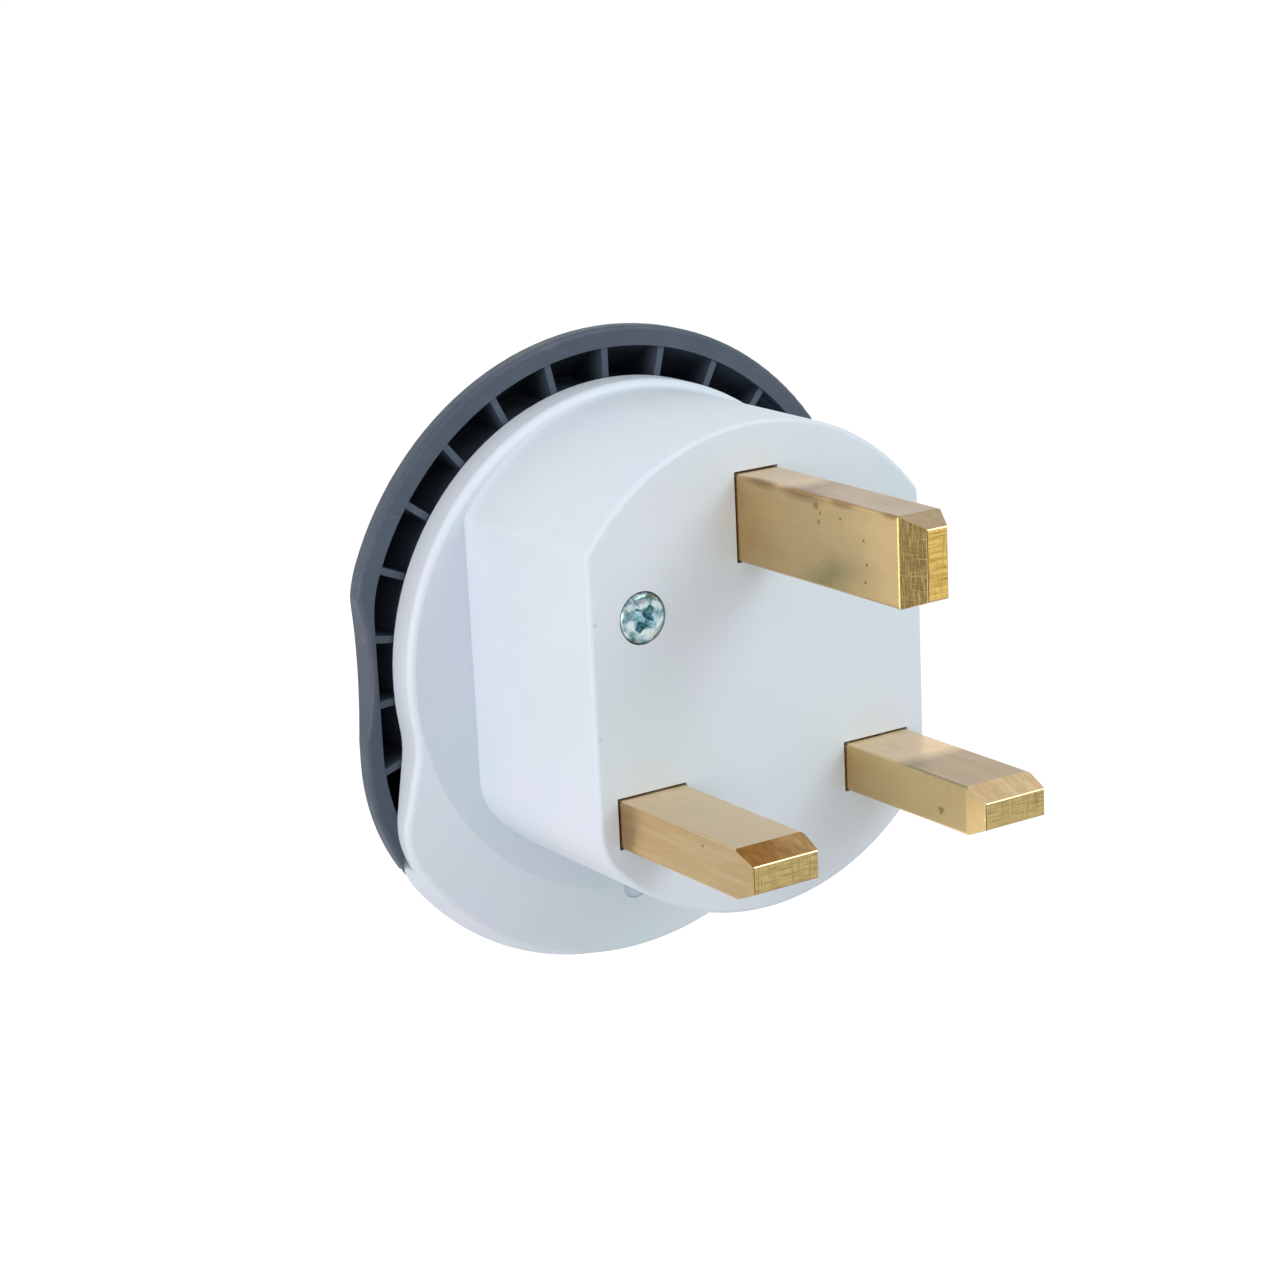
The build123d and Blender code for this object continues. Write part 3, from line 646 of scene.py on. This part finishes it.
punch.data.transform(Matrix.Translation((0, 0, (recess_floor - punch_height / 2) * MM)))
print("punch has", len(punch.data.polygons), "faces")

# %% Punch the recess and soften the edges
punching = screw.modifiers.new("punch", "BOOLEAN")
punching.operation = "DIFFERENCE"
punching.object = punch
punching.solver = "EXACT"
bpy.ops.object.select_all(action="DESELECT")
bpy.context.view_layer.objects.active = screw
bpy.ops.object.modifier_apply(modifier="punch")
bpy.data.objects.remove(punch)
soften = screw.modifiers.new("soften", "BEVEL")
soften.width = soft_edge * MM
soften.segments = 2
soften.limit_method = "ANGLE"
soften.angle_limit = math.radians(sharp_angle)
soften.use_clamp_overlap = True
bpy.ops.object.modifier_apply(modifier="soften")
print("punched screw has", len(screw.data.polygons), "faces")

# %% Stand both screws in their holes
smooth_angle = 32
upright_to_seat = Matrix.Rotation(math.radians(-90), 4, "X")
twin = screw.copy()
twin.data = screw.data.copy()
twin.name = "cross_screw_b"
bpy.context.scene.collection.objects.link(twin)
screws = (screw, twin)
for piece, (x, z), turn in zip(screws, screw_places, screw_turns):
    piece.data.transform(Matrix.Rotation(math.radians(turn), 4, "Z"))
    piece.data.transform(upright_to_seat)
    piece.data.transform(Matrix.Translation(Vector((x, head_seat, z)) * MM))
    bpy.ops.object.select_all(action="DESELECT")
    piece.select_set(True)
    bpy.context.view_layer.objects.active = piece
    bpy.ops.object.shade_smooth_by_angle(angle=math.radians(smooth_angle))
    ys = [vertex.co.y / MM for vertex in piece.data.vertices]
    print(piece.name, "reaches from y", round(min(ys), 2), "to", round(max(ys), 2), "mm")

# %% [markdown]
# ## Zinc plating
# The plating is a bright zinc that looks blue-green in the photograph, most of all in the recess. The
# head's reflections are broken up there, so a soft bump makes the head a little uneven. The recess gets
# its own material.

# %% Zinc plating
plain_zinc = (0.60, 0.72, 0.74)
zinc_tones = ((0.12, 0.24, 0.28), (0.54, 0.62, 0.64))
zinc, tree, shader = new_material("zinc_plating", plain_zinc, metallic=1.0, roughness=0.22)
patches = noise(tree, 0.6, detail=4)
color = blend(tree, spread(tree, patches, 0.40, 0.62), *zinc_tones)
join(tree, shader, Base_Color=color, Roughness=spread(tree, patches, 0.3, 0.7, 0.16, 0.30))
add_bump(tree, shader, noise(tree, 0.45, detail=3), 0.05, 0.8)
print("zinc plating made")

# %% Zinc in the recess
plain_recess = (0.12, 0.28, 0.33)
recess_tones = ((0.07, 0.22, 0.26), (0.42, 0.62, 0.68))
recess, tree, shader = new_material("zinc_recess", plain_recess, metallic=1.0, roughness=0.20)
patches = noise(tree, 0.5, detail=4)
color = blend(tree, spread(tree, patches, 0.35, 0.65), *recess_tones)
join(tree, shader, Base_Color=color)
add_bump(tree, shader, noise(tree, 0.35, detail=3), 0.05, 0.8)
print("recess zinc made")

# %% [markdown]
# A face belongs to the recess when it lies near the screw's middle and deeper than the domed top of the
# head. Only the recess has such faces, so no list of face numbers is needed.

# %% Plate the screws
recess_reach = 1.55
below_dome = 0.05
for piece, (x, z) in zip(screws, screw_places):
    piece.data.materials.clear()
    piece.data.materials.append(zinc)
    piece.data.materials.append(recess)
    inside = 0
    for face in piece.data.polygons:
        place = face.center / MM - Vector((x, 0, z))
        across = Vector((place.x, place.z)).length
        dome = head_top + dome_height * (across / head_radius) ** 2
        if across < recess_reach and dome + below_dome < place.y < head_seat:
            face.material_index = 1
            inside += 1
    print(piece.name, "has", inside, "recess faces")
    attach(piece, "root")
    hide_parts("cover_screws")
print("screws plated")

# %% [markdown]
# ## Studio
# The photograph has a plain white ground, soft light from all round, and a stronger soft light from the
# left, which makes the flat side of the block the brightest surface. The world gives the soft light.
# What the camera, metal and gloss see of it is plain white. The floor lies below the plug and glows for
# those rays too, so it looks white but still takes the object's shadow.

# %% World
scene = bpy.context.scene
scene.view_settings.view_transform = "Standard"
pure_white = (1, 1, 1, 1)
ambient_level = 0.78
seen_rays = ("Is Camera Ray", "Is Glossy Ray", "Is Transmission Ray")


def seen_ray(tree):
    """1 for rays from the camera, from gloss and through glass; 0 for soft light."""
    path = tree.nodes.new("ShaderNodeLightPath")
    return strongest(tree, [path.outputs[name] for name in seen_rays])


world = bpy.data.worlds.new("studio")
scene.world = world
world.use_nodes = True
tree = world.node_tree
soft = tree.nodes["Background"]
soft.inputs["Color"].default_value = pure_white
soft.inputs["Strength"].default_value = ambient_level
seen = add_node(tree, "ShaderNodeBackground", Color=pure_white, Strength=1.0)
mix = tree.nodes.new("ShaderNodeMixShader")
tree.links.new(seen_ray(tree), mix.inputs[0])
tree.links.new(soft.outputs[0], mix.inputs[1])
tree.links.new(seen.outputs[0], mix.inputs[2])
tree.links.new(mix.outputs[0], tree.nodes["World Output"].inputs["Surface"])
print("world level", ambient_level)

# %% Floor
floor_level = -0.10
floor_radius = 4.0
floor_glow = 0.53
plain_floor = (0.60, 0.60, 0.60)
floor_tones = ((0.59, 0.59, 0.59), (0.61, 0.61, 0.61))

bpy.ops.object.select_all(action="DESELECT")
bpy.ops.mesh.primitive_circle_add(vertices=96, radius=floor_radius, fill_type="NGON",
                                  location=(0, 0, 0))
floor = bpy.context.object
floor.name = "floor"
floor.data.transform(Matrix.Translation((0, 0, floor_level)))
print("floor at", floor_level, "m")

# %% Floor: its material
ground, tree, shader = new_material("pale_floor", plain_floor, roughness=1.0, specular=0.0)
join(tree, shader, Base_Color=blend(tree, noise(tree, 60), *floor_tones))
glow = add_node(tree, "ShaderNodeEmission", Color=pure_white, Strength=floor_glow)
glow_mix = tree.nodes.new("ShaderNodeMixShader")
both = tree.nodes.new("ShaderNodeAddShader")
tree.links.new(shader.outputs[0], both.inputs[0])
tree.links.new(glow.outputs[0], both.inputs[1])
tree.links.new(seen_ray(tree), glow_mix.inputs[0])
tree.links.new(shader.outputs[0], glow_mix.inputs[1])
tree.links.new(both.outputs[0], glow_mix.inputs[2])
tree.links.new(glow_mix.outputs[0], tree.nodes["Material Output"].inputs["Surface"])
floor.data.materials.append(ground)
print("floor glows with", floor_glow)

# %% [markdown]
# ## Lamps
# A key lamp on the left, about level with the plug, lights the flat side of the block. A wider lamp
# stands further away on the right, in front and above. It fills the pin face and leaves the flange
# behind the block in its shade. The key is slightly pink and the fill slightly blue-green, which gives
# the two sides of the white plastic the tones that they have in the photograph.


# %% Lamps
def soft_lamp(name, place, size, power, color):
    """A square soft box that looks at the middle of the plug."""
    lamp_data = bpy.data.lights.new(name, "AREA")
    lamp_data.size = size
    lamp_data.energy = power
    lamp_data.color = color
    lamp = bpy.data.objects.new(name, lamp_data)
    scene.collection.objects.link(lamp)
    place = Vector(place)
    lamp.matrix_world = Matrix.Translation(place) @ place.to_track_quat("Z", "Y").to_matrix().to_4x4()
    return lamp


key = soft_lamp("key", place=(-0.66, -0.13, 0.06), size=0.40, power=2.35, color=(1.0, 0.92, 0.93))
fill = soft_lamp("fill", place=(0.45, -0.60, 0.50), size=0.50, power=2.75, color=(0.90, 1.0, 1.0))
print("lamps:", key.name, "and", fill.name)
